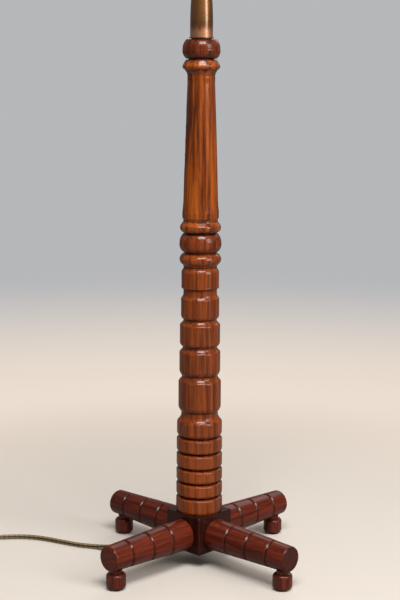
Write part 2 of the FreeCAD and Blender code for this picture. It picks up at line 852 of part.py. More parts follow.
half_span = filament_width / 2
filament_root = mount_top - filament_sunk
filament_points = [
    (-bulb_mount_radius / 4, 0, filament_root),
    (-half_span, 0, mount_top + filament_rise),
    (0, 0, mount_top + filament_rise / 2),
    (half_span, 0, mount_top + filament_rise),
    (bulb_mount_radius / 4, 0, filament_root),
]
save("bulb_filament", tube_along(rounded_path(filament_points, "filament"), filament_radius, "filament"))


# Shade: carrier with three arms, two wire rings and the skin

shade_bottom = carrier_bottom - shade_drop
shade_top = shade_bottom + shade_height


def skin_inside(height):
    """Radius of the skin's inside at a height."""
    share = (height - shade_bottom) / shade_height
    return shade_bottom_radius + (shade_top_radius - shade_bottom_radius) * share - shade_skin_thickness


def wire_ring(height):
    radius = skin_inside(height + shade_wire_radius) - shade_wire_radius - glue_gap
    return Part.makeTorus(radius, shade_wire_radius, Vector(0, 0, height))


lower_wire = shade_bottom + shade_wire_radius
save("shade_wire_bottom", wire_ring(lower_wire))
save("shade_wire_top", wire_ring(shade_top - shade_wire_radius))

carrier_bore = sleeve_radius + running_gap
carrier_radius = shade_ring_radius + carrier_overhang
carrier = ring(carrier_radius, carrier_bore, carrier_bottom, carrier_top)
arm_start_height = (carrier_bottom + carrier_top) / 2
arm_end_height = lower_wire + shade_wire_radius + carrier_arm_radius
arm_end = skin_inside(arm_end_height + carrier_arm_radius) - carrier_arm_radius - glue_gap
for index in range(carrier_arms):
    bearing = carrier_bearing + 360 * index / carrier_arms
    start = on_bearing(carrier_radius - carrier_arm_radius, bearing, arm_start_height)
    end = on_bearing(arm_end, bearing, arm_end_height)
    carrier = carrier.fuse(Part.makeCylinder(carrier_arm_radius, (end - start).Length, start, end - start))
save("shade_carrier", carrier)

save("shade_skin", turned([
    (shade_bottom_radius - shade_skin_thickness, shade_bottom),
    (shade_bottom_radius, shade_bottom),
    (shade_top_radius, shade_top),
    (shade_top_radius - shade_skin_thickness, shade_top),
]))


# Flex inside the lamp, from the strain relief up through the tubes to the switch

bend_start = Vector(-inside_bend_radius, 0, relief_height)
bend_end = Vector(0, 0, relief_height + inside_bend_radius)
bend_middle = Vector(-quarter_bow(inside_bend_radius), 0, relief_height + quarter_bow(inside_bend_radius))
inside_path = Part.Wire([
    Part.LineSegment(Vector(-relief_tip, 0, relief_height), bend_start).toShape(),
    Part.Arc(bend_start, bend_middle, bend_end).toShape(),
    Part.LineSegment(bend_end, Vector(0, 0, switch_bottom)).toShape(),
])
save("flex_inside", tube_along(inside_path, cord_radius, "flex inside"))

# Strain relief in the hub's corner

relief_bore = cord_radius + cord_bore_gap
flange_end = relief_seat + relief_flange_thickness
relief = turned([
    (relief_bore, relief_seat - relief_barrel_length),
    (relief_barrel_radius, relief_seat - relief_barrel_length),
    (relief_barrel_radius, relief_seat),
    (relief_flange_radius, relief_seat),
    (relief_flange_radius, flange_end - relief_flange_round),
    (relief_flange_radius - relief_flange_round, flange_end, quarter_bow(relief_flange_round)),
    (relief_tip_radius, relief_tip),
    (relief_bore, relief_tip),
])
relief.rotate(Vector(0, 0, 0), Vector(0, 1, 0), -90)
save("cord_relief", lifted(relief, relief_height))

# Free flex

save("cord_lead", tube_along(rounded_path(lead_route, "free flex"), cord_radius, "free flex"))


# Coil: the loops spiral in and out at a steady rate, and climb a layer where the spiral reverses

coil_pitch = cord_diameter + coil_turn_gap
coil_outer_radius = coil_middle_radius + coil_pitch * coil_turns_per_layer / 2
coil_centre_y = coil_start_y - coil_outer_radius
coil_full_turns = coil_layers * coil_turns_per_layer
coil_turns = coil_full_turns + coil_extra_turns


def coil_angle(turns):
    """Bearing of the flex after a number of turns, which start where the free flex arrives."""
    return math.radians(90 + 360 * turns)


def coil_point(turns):
    """Centre of the flex after a number of turns. The last quarter turn moves outwards."""
    phase = turns % (2 * coil_turns_per_layer)
    inwards = min(phase, 2 * coil_turns_per_layer - phase)
    if turns > coil_full_turns:
        inwards = coil_full_turns - turns
    radius = coil_outer_radius - coil_pitch * inwards
    height = cord_floor
    for layer in range(1, coil_layers):
        share = (turns - layer * coil_turns_per_layer) / coil_climb_turns + 0.5
        share = min(max(share, 0), 1)
        height += coil_pitch * share * share * (3 - 2 * share)
    angle = coil_angle(turns)
    x = coil_centre_x + radius * math.cos(angle)
    y = coil_centre_y + radius * math.sin(angle)
    return Vector(x, y, height)


def coil_heading(turns):
    """Direction of the flex: round the coil, rising where it climbs."""
    step = 0.001
    rise = (coil_point(turns + step) - coil_point(turns - step)).normalize().z
    level = math.sqrt(1 - rise * rise)
    angle = coil_angle(turns)
    return Vector(-math.sin(angle) * level, math.cos(angle) * level, rise)


def arc_between(start, corner, end):
    """Arc from start to end that is tangent to both legs of the corner."""
    middle = (start + end) * 0.5
    sag = (corner - middle).Length
    leg_length = (corner - start).Length
    radius = leg_length * (end - start).Length / 2 / sag
    top = corner + (middle - corner) * ((leg_length ** 2 / sag - radius) / sag)
    return Part.Arc(start, top, end).toShape()


def biarc(start, start_heading, end, end_heading):
    """Two arcs that leave along one heading, meet in line, and arrive along the other."""
    chord = end - start
    along = chord.dot(start_heading + end_heading)
    bend = 2 * (1 - start_heading.dot(end_heading))
    reach = (-along + math.sqrt(along ** 2 + bend * chord.dot(chord))) / bend
    first = start + start_heading * reach
    second = end - end_heading * reach
    joint = (first + second) * 0.5
    return [arc_between(start, first, joint), arc_between(joint, second, end)]


coil_entry = Vector(coil_start_x, coil_start_y, cord_floor)
coil_end = coil_point(coil_turns)
coil_exit = coil_end + coil_heading(coil_turns) * cord_diameter
coil_edges = [Part.LineSegment(coil_entry, coil_point(0)).toShape()]
for quarter in range(round(4 * coil_turns)):
    here = quarter / 4
    there = here + 0.25
    coil_edges += biarc(coil_point(here), coil_heading(here), coil_point(there), coil_heading(there))
coil_edges.append(Part.LineSegment(coil_end, coil_exit).toShape())
save("cord_coil", tube_along(Part.Wire(coil_edges), cord_radius, "coil"))

sample_count = round(coil_samples_per_turn * coil_turns)
samples = [coil_point(index / coil_samples_per_turn) for index in range(sample_count + 1)]
half_turn_samples = coil_samples_per_turn // 2
nearest = min(
    samples[first].distanceToPoint(samples[second])
    for first in range(len(samples))
    for second in range(first + half_turn_samples, len(samples))
)
print(f"coil: least gap between its turns {nearest - cord_diameter:.2f}")

# Tail of the flex, from the coil's top layer down to the plug's boot

tail_route = [tuple(coil_exit)]
for side_step, forward_step, height in tail_steps:
    x, y, z = tail_route[-1]
    tail_route.append((x + side_step, y + forward_step, z if height is None else height))
save("cord_tail", tube_along(rounded_path(tail_route, "tail"), cord_radius, "tail"))

# Plug: a tapered boot moulded on the flex, a flat body and two pins. It lies along the flex's last run.

tail_end = Vector(*tail_route[-1])
plug_heading = (tail_end - Vector(*tail_route[-2])).normalize()
plug_bearing = math.degrees(math.atan2(plug_heading.y, plug_heading.x))


def laid_at_plug(shape, distance):
    """Puts a shape made along the X axis on the flex's last run, a distance from the flex's end."""
    shape.rotate(Vector(0, 0, 0), Vector(0, 0, 1), plug_bearing)
    shape.translate(tail_end + plug_heading * distance)
    return shape


boot = turned([(0, 0), (relief_tip_radius, 0), (plug_boot_radius, plug_boot_length), (0, plug_boot_length)])
boot.rotate(Vector(0, 0, 0), Vector(0, 1, 0), 90)
save("plug_boot", laid_at_plug(boot, 0))
half_front = plug_width / 2
half_rear = plug_rear_width / 2
shoulder = plug_length - plug_shoulder
plug_corners = [
    (0, half_rear),
    (0, -half_rear),
    (shoulder, -half_front),
    (plug_length, -half_front),
    (plug_length, half_front),
    (shoulder, half_front),
    (0, half_rear),
]
plug_ring = [Vector(x, y, -plug_thickness / 2) for x, y in plug_corners]
plug = Part.Face(Part.makePolygon(plug_ring)).extrude(Vector(0, 0, plug_thickness))
plug = plug.makeChamfer(plug_edge, plug.Edges)
save("plug_body", laid_at_plug(plug, plug_boot_length))
pins = []
for side in (-1, 1):
    place = Vector(0, side * plug_pin_spacing / 2, 0)
    pin = cylinder(plug_pin_radius, plug_pin_length - plug_pin_tip, place, sideways)
    tip_place = place + Vector(plug_pin_length - plug_pin_tip, 0, 0)
    tip = Part.makeCone(plug_pin_radius, plug_pin_radius / 2, plug_pin_tip, tip_place, Vector(1, 0, 0))
    pins.append(laid_at_plug(pin.fuse(tip), plug_boot_length + plug_length))
save("plug_pins", *pins)
print(f"lamp height {shade_top:.1f}, column top {column_top:.2f}")
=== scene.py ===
import math

import bpy
from mathutils import Matrix, Vector


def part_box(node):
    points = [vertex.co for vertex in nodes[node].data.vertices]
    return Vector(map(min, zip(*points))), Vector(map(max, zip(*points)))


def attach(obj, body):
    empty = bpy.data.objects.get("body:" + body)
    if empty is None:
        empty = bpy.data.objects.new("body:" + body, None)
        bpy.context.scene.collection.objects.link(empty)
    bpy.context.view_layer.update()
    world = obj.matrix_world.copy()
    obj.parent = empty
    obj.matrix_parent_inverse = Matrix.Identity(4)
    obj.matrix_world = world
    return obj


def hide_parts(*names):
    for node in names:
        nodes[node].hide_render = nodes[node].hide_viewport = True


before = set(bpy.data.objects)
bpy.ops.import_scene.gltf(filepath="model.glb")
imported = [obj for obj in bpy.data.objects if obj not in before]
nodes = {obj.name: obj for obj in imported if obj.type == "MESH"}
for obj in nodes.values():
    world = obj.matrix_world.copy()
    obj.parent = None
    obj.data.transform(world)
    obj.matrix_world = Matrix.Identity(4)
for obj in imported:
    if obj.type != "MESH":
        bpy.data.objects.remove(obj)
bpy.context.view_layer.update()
scene = bpy.context.scene


# Camera. It stands where the photograph was taken from: in front of the hub's corner, above knee height,
# looking slightly down, with a very small roll.
camera_place = (-0.0133, -1.6952, 0.6456)
camera_bearing = math.radians(-0.4435)
camera_pitch = math.radians(9.951)
camera_roll = math.radians(0.300)
camera_lens = 80.63
camera_sensor_width = 36.0
bpy.ops.object.camera_add()
camera = bpy.context.object
camera.name = "camera"
camera.data.lens = camera_lens
camera.data.sensor_width = camera_sensor_width
camera.matrix_world = (
    Matrix.Translation(camera_place)
    @ Matrix.Rotation(camera_bearing, 4, "Z")
    @ Matrix.Rotation(math.pi / 2 - camera_pitch, 4, "X")
    @ Matrix.Rotation(camera_roll, 4, "Z")
)
scene.camera = camera
scene.view_settings.view_transform = "Standard"


# Floor and background. A plain pale floor keeps the lamp's shadow and passes into an even grey surround.
# Only the camera and glass see them so pale: what they throw back on the lamp and its lacquer is duller.
floor_size = 60.0
floor_height = -0.0002          # just under the felt pads
floor_colour = (0.90, 0.815, 0.725)
floor_bounce = (0.34, 0.31, 0.28)
far_floor_colour = (0.84, 0.73, 0.63)
surround_colour = (0.47, 0.475, 0.49)
lit_reach = (0.26, 0.95)        # from the lamp, where the lit floor passes into an evenly pale one
even_reach = (0.8, 2.5)         # and where that one passes into the surround
fill_colour = (1.0, 0.97, 0.93)
fill_strength = 0.15


def added(tree, kind, inputs=None, **settings):
    """Node with its settings, and with a value or a link for each named input."""
    node = tree.nodes.new(kind)
    for name, value in settings.items():
        setattr(node, name, value)
    for name, value in (inputs or {}).items():
        if isinstance(value, bpy.types.NodeSocket):
            tree.links.new(value, node.inputs[name])
        else:
            node.inputs[name].default_value = value
    return node


def ranged(tree, value, low, high, to_low=0.0, to_high=1.0):
    """Value moved smoothly from one range to another."""
    inputs = {"Value": value, "From Min": low, "From Max": high, "To Min": to_low, "To Max": to_high}
    return added(tree, "ShaderNodeMapRange", inputs, interpolation_type="SMOOTHSTEP").outputs["Result"]


def blended(tree, share, first, second):
    """Mix of two colours."""
    return added(tree, "ShaderNodeMix", {0: share, 6: first, 7: second}, data_type="RGBA").outputs[2]


def calculated(tree, operation, *values):
    """Result of a Math node."""
    return added(tree, "ShaderNodeMath", dict(enumerate(values)), operation=operation).outputs[0]


def vector_made(tree, operation, *values):
    """Result of a Vector Math node: a number for a length, a vector for the rest."""
    outputs = added(tree, "ShaderNodeVectorMath", dict(enumerate(values)), operation=operation).outputs
    return outputs["Value" if operation == "LENGTH" else "Vector"]


def new_material(name, **settings):
    """Material whose shader has the given settings, which are the same all over its surface."""
    material = bpy.data.materials.new(name)
    material.use_nodes = True
    shader = material.node_tree.nodes["Principled BSDF"]
    for socket, value in settings.items():
        shader.inputs[socket.replace("_", " ")].default_value = value
    return material, material.node_tree, shader


def seen_directly(tree):
    """1 for what the camera sees, also through glass, and 0 for reflections and bounced light."""
    rays = added(tree, "ShaderNodeLightPath").outputs
    return calculated(tree, "MAXIMUM", rays["Is Camera Ray"], rays["Is Transmission Ray"])


def floor_material():
    """Lit floor round the lamp, an evenly pale one further off, and the surround's grey beyond that."""
    material, tree, shader = new_material("pale floor", Roughness=0.9, Specular_IOR_Level=0.1)
    seen = seen_directly(tree)
    lit_colour = blended(tree, seen, (*floor_bounce, 1.0), (*floor_colour, 1.0))
    tree.links.new(lit_colour, shader.inputs["Base Color"])
    reach = vector_made(tree, "LENGTH", added(tree, "ShaderNodeTexCoord").outputs["Object"])
    even = calculated(tree, "MULTIPLY", ranged(tree, reach, *lit_reach), seen)
    beyond = ranged(tree, reach, *even_reach)
    even_colour = blended(tree, beyond, (*far_floor_colour, 1.0), (*surround_colour, 1.0))
    glow = added(tree, "ShaderNodeEmission", {"Color": even_colour, "Strength": 1.0})
    shares = {0: even, 1: shader.outputs["BSDF"], 2: glow.outputs["Emission"]}
    mix = added(tree, "ShaderNodeMixShader", shares)
    tree.links.new(mix.outputs["Shader"], tree.nodes["Material Output"].inputs["Surface"])
    return material


bpy.ops.mesh.primitive_plane_add(size=floor_size, location=(0.0, 0.0, floor_height))
floor = bpy.context.object
floor.name = "floor"
floor.data.materials.append(floor_material())

world = bpy.data.worlds.new("studio")
scene.world = world
world.use_nodes = True
world_tree = world.node_tree
fill = world_tree.nodes["Background"]
fill.inputs["Color"].default_value = (*fill_colour, 1.0)
fill.inputs["Strength"].default_value = fill_strength
surround = added(world_tree, "ShaderNodeBackground", {"Color": (*surround_colour, 1.0), "Strength": 1.0})
shares = {0: seen_directly(world_tree), 1: fill.outputs["Background"], 2: surround.outputs["Background"]}
world_mix = added(world_tree, "ShaderNodeMixShader", shares)
world_tree.links.new(world_mix.outputs["Shader"], world_tree.nodes["World Output"].inputs["Surface"])


# Studio lights: a broad soft box above and in front, a tall one at the right, and a weak one behind.
def soft_box(name, place, aim, size, power):
    """Rectangular light at a place, turned to the point it is aimed at."""
    bpy.ops.object.light_add(type="AREA", location=place)
    light = bpy.context.object
    light.name = name
    light.data.shape = "RECTANGLE"
    light.data.size = size[0]
    light.data.size_y = size[1]
    light.data.energy = power
    heading = Vector(aim) - Vector(place)
    light.rotation_euler = heading.to_track_quat("-Z", "Y").to_euler()


soft_box("light above", place=(0.25, -1.5, 2.6), aim=(0.0, 0.0, 0.35), size=(1.6, 1.0), power=60.0)
soft_box("light right", place=(1.9, -1.5, 1.5), aim=(0.0, 0.0, 0.5), size=(1.0, 1.6), power=27.0)
soft_box("light behind", place=(0.9, 2.4, 2.4), aim=(0.0, 0.0, 0.5), size=(2.4, 2.0), power=16.0)


# Feet: short turned barrels of a dark reddish hardwood, stained and lacquered. Each is doweled into the
# underside of a leg and stands on a glued felt pad.
def cloudy(tree, point, scale, detail=2.0, stretch=(1.0, 1.0, 1.0)):
    """Noise about a point, drawn out along an axis where its stretch is under 1."""
    placed = vector_made(tree, "MULTIPLY", point, stretch)
    noise = added(tree, "ShaderNodeTexNoise", {"Vector": placed, "Scale": scale, "Detail": detail})
    return noise.outputs["Fac"]


def bumped(tree, shader, height, distance, strength=1.0):
    """Gives a shader relief of a height times a distance."""
    bump = added(tree, "ShaderNodeBump", {"Height": height, "Distance": distance, "Strength": strength})
    tree.links.new(bump.outputs["Normal"], shader.inputs["Normal"])


pore_colour = (0.020, 0.006, 0.002, 1.0)
stain_and_shade_colour = (0.012, 0.004, 0.002, 1.0)


def hardwood_group():
    """Growth rings, streaks, fibres and pores of wood whose grain runs along Z."""
    tree = bpy.data.node_groups.new("hardwood", "ShaderNodeTree")
    sockets = (
        ("Point", "INPUT", "NodeSocketVector"),
        ("Light", "INPUT", "NodeSocketColor"),
        ("Dark", "INPUT", "NodeSocketColor"),
        ("Ring Spacing", "INPUT", "NodeSocketFloat"),
        ("Contrast", "INPUT", "NodeSocketFloat"),
        ("Color", "OUTPUT", "NodeSocketColor"),
        ("Roughness", "OUTPUT", "NodeSocketFloat"),
        ("Height", "OUTPUT", "NodeSocketFloat"),
    )
    for name, way, kind in sockets:
        tree.interface.new_socket(name, in_out=way, socket_type=kind)
    given = added(tree, "NodeGroupInput").outputs
    result = added(tree, "NodeGroupOutput").inputs
    point = given["Point"]
    wander_noise = added(tree, "ShaderNodeTexNoise", {"Vector": point, "Scale": 9.0, "Detail": 2.0})
    wander = wander_noise.outputs["Color"]
    flat = vector_made(tree, "MULTIPLY", point, (1.0, 1.0, 0.0))
    moved = vector_made(tree, "MULTIPLY_ADD", wander, (0.018, 0.018, 0.0), flat)
    from_pith = vector_made(tree, "LENGTH", moved)
    count = calculated(tree, "DIVIDE", from_pith, given["Ring Spacing"])
    rings = added(tree, "ShaderNodeTexNoise", {"W": count, "Scale": 1.0, "Detail": 3.0},
                  noise_dimensions="1D").outputs["Fac"]
    bands = ranged(tree, rings, 0.30, 0.70)
    streaks = ranged(tree, cloudy(tree, point, 190.0, 3.0, (1.0, 1.0, 0.030)), 0.34, 0.66)
    fibres = ranged(tree, cloudy(tree, point, 600.0, 3.0, (1.0, 1.0, 0.020)), 0.30, 0.70)
    pores = ranged(tree, cloudy(tree, point, 1700.0, 1.0, (1.0, 1.0, 0.045)), 0.60, 0.74)
    patches = cloudy(tree, point, 26.0, 3.0, (1.0, 1.0, 0.35))
    patterns = ((bands, 0.22), (streaks, 0.42), (fibres, 0.36), (patches, 0.60))
    tone = 0.0
    for pattern, weight in patterns:
        tone = calculated(tree, "MULTIPLY_ADD", pattern, weight, tone)
    middle_tone = sum(weight for pattern, weight in patterns) / 2.0
    tone = calculated(tree, "SUBTRACT", tone, middle_tone)
    tone = calculated(tree, "MULTIPLY_ADD", tone, given["Contrast"], 0.5)
    colour = blended(tree, ranged(tree, tone, 0.0, 1.0), given["Dark"], given["Light"])
    colour = blended(tree, calculated(tree, "MULTIPLY", pores, 0.45), colour, pore_colour)
    tree.links.new(colour, result["Color"])
    tree.links.new(calculated(tree, "MULTIPLY_ADD", pores, 0.16, 0.34), result["Roughness"])
    tree.links.new(calculated(tree, "SUBTRACT", fibres, pores), result["Height"])
    return tree


hardwood = hardwood_group()


def wood_material(name, light, dark, pith, turn=(0.0, 0.0, 0.0), spacing=0.0030, contrast=1.0, hollows=(),
                  lacquer=0.6):
    """Lacquered hardwood. After the turn its grain runs along Z, round a pith beside the piece. A hollow is
    a place along the grain, half its width, and how dark it is painted there: dark lines at joints, stain
    and painted shade in grooves, and painted shade under overhangs and on a lit end."""
    material, tree, shader = new_material(name, Specular_IOR_Level=0.15, Coat_Weight=lacquer,
                                          Coat_Roughness=0.10)
    given_point = added(tree, "ShaderNodeTexCoord").outputs["Object"]
    turned = added(tree, "ShaderNodeMapping", {"Vector": given_point, "Rotation": turn},
                   vector_type="TEXTURE")
    point = turned.outputs["Vector"]
    place = added(tree, "ShaderNodeSeparateXYZ", {0: point}).outputs["Z"]
    inputs = {"Point": vector_made(tree, "SUBTRACT", point, pith), "Light": (*light, 1.0),
              "Dark": (*dark, 1.0), "Ring Spacing": spacing, "Contrast": contrast}
    wood = added(tree, "ShaderNodeGroup", inputs, node_tree=hardwood)
    colour = wood.outputs["Color"]
    for middle, half_width, darkness in hollows:
        away = calculated(tree, "ABSOLUTE", calculated(tree, "SUBTRACT", place, middle))
        # Darkening along each hollow: stain and painted shade in grooves, painted shade under overhangs and
        # on a lit leg end, dark lines at joints.
        darkened_share = ranged(tree, away, 0.1 * half_width, half_width, darkness, 0.0)
        colour = blended(tree, darkened_share, colour, stain_and_shade_colour)
    tree.links.new(colour, shader.inputs["Base Color"])
    tree.links.new(wood.outputs["Roughness"], shader.inputs["Roughness"])
    bumped(tree, shader, wood.outputs["Height"], distance=0.00004, strength=0.18)
    return material


def dressed(material, *names):
    """Puts a material on CAD nodes."""
    for name in names:
        nodes[name].material_slots[0].material = material


leg_light = (0.205, 0.028, 0.010)
leg_dark = (0.060, 0.008, 0.004)
leg_bearings = {"front_left": 225.0, "front_right": 315.0, "back_left": 135.0, "back_right": 45.0}
for number, corner in enumerate(leg_bearings):
    foot_pith = (0.050 + 0.011 * number, 0.030, 0.2 * number)
    dressed(wood_material("foot wood " + corner, leg_light, leg_dark, foot_pith), "foot_" + corner)


def felt_material():
    """Dark felt with a fuzz of short fibres."""
    material, tree, shader = new_material("felt", Roughness=0.95)
    point = added(tree, "ShaderNodeTexCoord").outputs["Object"]
    fuzz = cloudy(tree, point, 1400.0, 4.0)
    colour = blended(tree, fuzz, (0.008, 0.006, 0.005, 1.0), (0.035, 0.028, 0.024, 1.0))
    tree.links.new(colour, shader.inputs["Base Color"])
    bumped(tree, shader, fuzz, 0.0003)
    return material


dressed(felt_material(), "foot_pads")


# Legs: tapered turnings of the same hardwood with three V grooves each, glued with a tenon into the hub's
# faces. The grain runs along each leg. The grooves are darkened with stain and painted shade, and the end
# of the front right leg, which faces the right lamp, with painted shade.
leg_groove_stain_and_shade = (0.0022, 0.75)       # half its width, and how dark it is
# Stain and painted shade in the leg grooves.
leg_grooves = [(place, *leg_groove_stain_and_shade) for place in (0.0635, 0.0966, 0.1312)]
leg_end = 0.1600
leg_end_width = 0.0030
# Painted shade on the end of the leg that faces the right lamp.
painted_shade_ends = {"front_right": 0.55}
for number, (corner, bearing) in enumerate(leg_bearings.items()):
    leg_pith = (0.062 - 0.013 * number, 0.035 + 0.012 * number, 0.31 * number)
    leg_turn = (0.0, math.radians(90.0), math.radians(bearing))
    end_painted_shade = (leg_end, leg_end_width, painted_shade_ends.get(corner, 0.0))
    leg_wood = wood_material("leg wood " + corner, leg_light, leg_dark, leg_pith, leg_turn, spacing=0.0034,
                             hollows=(*leg_grooves, end_painted_shade), lacquer=0.4)
    dressed(leg_wood, "leg_" + corner)


# Hub: a square block that takes the four tenons and the column's centre tube. Its cavity is closed by a
# thin board, which is stained nearly black and held by four countersunk steel screws.
hub_light = (0.052, 0.010, 0.005)
hub_dark = (0.014, 0.003, 0.002)
board_light = (0.030, 0.012, 0.008)
board_dark = (0.010, 0.004, 0.003)
board_turn = (0.0, math.radians(90.0), math.radians(45.0))
hub_wood = wood_material("hub wood", hub_light, hub_dark, pith=(0.070, -0.045, 0.4), lacquer=0.3)
board_wood = wood_material("board wood", board_light, board_dark, pith=(0.2, 0.1, 0.0), turn=board_turn)
dressed(hub_wood, "hub_block")
dressed(board_wood, "hub_cover")


# Painted reflection: a copper tone on the brass neck's foot stands in for the lit wood that it reflects.
painted_reflection_colour = (0.84, 0.37, 0.20, 1.0)
painted_reflection_band = (0.011, 0.020)      # above the given height, from where the painted reflection fades out, and by where


def metal_material(name, colour, dull, roughness, lathe=0.0, coat=0.0, painted_reflection_at=None):
    """Metal with a cloudy tone, and with fine grain or, where their depth is given, lines that the lathe
    left round it. Where a height is given, a painted reflection of a copper tone covers the metal just
    above it and fades out higher up."""
    material, tree, shader = new_material(name, Metallic=1.0, Coat_Weight=coat, Coat_Roughness=0.11,
                                          Coat_IOR=1.75)
    point = added(tree, "ShaderNodeTexCoord").outputs["Object"]
    tone = ranged(tree, cloudy(tree, point, 50.0, 4.0), 0.3, 0.7)
    shown = blended(tree, tone, (*dull, 1.0), (*colour, 1.0))
    if painted_reflection_at is not None:
        height = added(tree, "ShaderNodeSeparateXYZ", {0: point}).outputs["Z"]
        unevenness = cloudy(tree, point, 260.0, 2.0, (1.0, 1.0, 0.2))
        edge = calculated(tree, "MULTIPLY_ADD", unevenness, 0.010, height)
        # Painted reflection of the wood below, in a copper tone, on the lowest part of the neck.
        painted_reflection_share = ranged(tree, edge, painted_reflection_at + painted_reflection_band[0], painted_reflection_at + painted_reflection_band[1], 0.95, 0.0)
        shown = blended(tree, painted_reflection_share, shown, painted_reflection_colour)
    tree.links.new(shown, shader.inputs["Base Color"])
    lines = cloudy(tree, point, 9.0, 2.0, (1.0, 1.0, 400.0))
    grain = lines if lathe else cloudy(tree, point, 900.0, 3.0)
    rough = ranged(tree, grain, 0.3, 0.7, roughness - 0.05, roughness + 0.08)
    tree.links.new(rough, shader.inputs["Roughness"])
    if lathe:
        bumped(tree, shader, lines, distance=lathe, strength=0.2)
    return material


steel = metal_material("steel", (0.62, 0.62, 0.61), (0.42, 0.42, 0.42), roughness=0.30)
dressed(steel, "hub_cover_screws", "hub_washer", "hub_nut", "centre_tube")


# Lower column: one turning with five discs, six drums on short necks, and a ring, threaded on the centre
# tube. Its grain is straight. The grooves are painted nearly black, with stain and painted shade, and a
# painted shadow lies where each drum overhangs its neck.
column_light = (0.400, 0.080, 0.011)
column_dark = (0.110, 0.018, 0.004)
groove_stain_and_shade = (0.0022, 0.9)
underside_painted_shadow = (0.0012, 0.8)
first_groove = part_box("column_lower")[0][2] + 0.0212
groove_steps = (0.0192, 0.0189, 0.0206, 0.0207)
grooves = [first_groove]
for step in groove_steps:
    grooves.append(grooves[-1] + step)
under_drums = (0.2034, 0.2512, 0.2894, 0.3246, 0.3637, 0.3922)
# Stain and painted shade in the disc grooves.
lower_hollows = [(groove, *groove_stain_and_shade) for groove in grooves]
# Painted shadow under each drum where it overhangs its neck.
lower_hollows += [(height, *underside_painted_shadow) for height in under_drums]
lower_wood = wood_material("lower column wood", column_light, column_dark, pith=(0.045, 0.060, 0.0),
                           hollows=lower_hollows)
dressed(lower_wood, "column_lower")


# Middle bead: a flattened ball between the two columns, from a redder piece of the same wood.
bead_light = (0.340, 0.062, 0.009)
bead_dark = (0.080, 0.013, 0.004)
rim_darkening = (0.0018, 0.9)
spigot_height = 0.0014          # about that of the spigots at the turned pieces' upper ends


def joint_hollows(node):
    """Dark lines along the lower and upper rim of a turned piece."""
    low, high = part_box(node)
    return [(low[2], *rim_darkening), (high[2] - spigot_height, *rim_darkening)]


middle_wood = wood_material("middle bead wood", bead_light, bead_dark, pith=(-0.050, 0.040, 0.3),
                            hollows=joint_hollows("column_middle_bead"))
dressed(middle_wood, "column_middle_bead")


# Upper column: a ring, a long tapered shaft, a cove and a second ring, turned in one from a paler, streaked
# piece. Narrow dark lines lie where the shaft meets its rings.
upper_light = (0.530, 0.117, 0.013)
upper_dark = (0.116, 0.019, 0.004)
upper_low, upper_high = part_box("column_upper")
upper_hollows = joint_hollows("column_upper")
upper_hollows += [(upper_low[2] + 0.0148, 0.0012, 0.75), (upper_high[2] - 0.0142, 0.0012, 0.6)]
upper_wood = wood_material("upper column wood", upper_light, upper_dark, pith=(0.030, 0.055, 0.7),
                           contrast=1.15, hollows=upper_hollows)
dressed(upper_wood, "column_upper")


# Top bead: like the middle one but smaller and darker, under the brass.
top_light = (0.230, 0.040, 0.008)
top_dark = (0.060, 0.010, 0.003)
top_wood = wood_material("top bead wood", top_light, top_dark, pith=(0.060, -0.030, 0.9), contrast=1.1,
                         hollows=joint_hollows("column_top_bead"))
dressed(top_wood, "column_top_bead")


# Brass: a seat ring, a neck shaped like a candle's flame and a straight stem, all bronzed brown, polished
# and lacquered. The neck is screwed on the centre tube, and the stem into the neck, whose foot carries a
# painted copper-toned reflection of the lit wood below it.
brass_colour = (0.370, 0.152, 0.034)
brass_dull = (0.250, 0.095, 0.020)
brass_finish = {"roughness": 0.45, "lathe": 0.00001, "coat": 1.0}
aged_brass = metal_material("aged brass", brass_colour, brass_dull, **brass_finish)
brass_with_painted_reflection = metal_material("brass with painted reflection", brass_colour, brass_dull, **brass_finish,
                            painted_reflection_at=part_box("brass_neck")[0][2])
dressed(aged_brass, "neck_seat_ring", "stem_tube")
dressed(brass_with_painted_reflection, "brass_neck")


# Lampholder: a bronzed brass cap on the stem's end and a sleeve that reaches down into the cap, round a
# fired ceramic core, which holds a bright brass screw shell and contact.
def moulded_material(name, colour, roughness):
    """Moulded or fired stuff with a fine grain and a slight change of tone."""
    material, tree, shader = new_material(name)
    point = added(tree, "ShaderNodeTexCoord").outputs["Object"]
    cloud = cloudy(tree, point, 90.0, 3.0)
    pale = tuple(1.3 * part + 0.006 for part in colour)
    tree.links.new(blended(tree, cloud, (*colour, 1.0), (*pale, 1.0)), shader.inputs["Base Color"])
    rough = ranged(tree, cloud, 0.3, 0.7, roughness - 0.06, roughness + 0.08)
    tree.links.new(rough, shader.inputs["Roughness"])
    bumped(tree, shader, cloudy(tree, point, 2400.0), distance=0.00004, strength=0.6)
    return material


dressed(aged_brass, "holder_cap", "holder_sleeve")
dressed(moulded_material("ceramic", (0.60, 0.58, 0.54), roughness=0.30), "holder_core")
bright_brass = metal_material("bright brass", (0.75, 0.55, 0.26), (0.52, 0.36, 0.16), roughness=0.30,
                              lathe=0.00003)
dressed(bright_brass, "socket_shell", "socket_contact")


# Turn switch: a moulded black block inside the cap, and a brass shaft that turns in it and carries a fluted
# black knob at the cap's side.
black_plastic = moulded_material("black plastic", (0.014, 0.013, 0.012), roughness=0.30)
dressed(black_plastic, "switch_block", "switch_knob")
dressed(bright_brass, "switch_shaft")


# Shade rings: two notched nuts of the same bronzed brass, screwed on the sleeve. They hold the shade's
# carrier between them.
dressed(aged_brass, "shade_ring_lower", "shade_ring_upper")


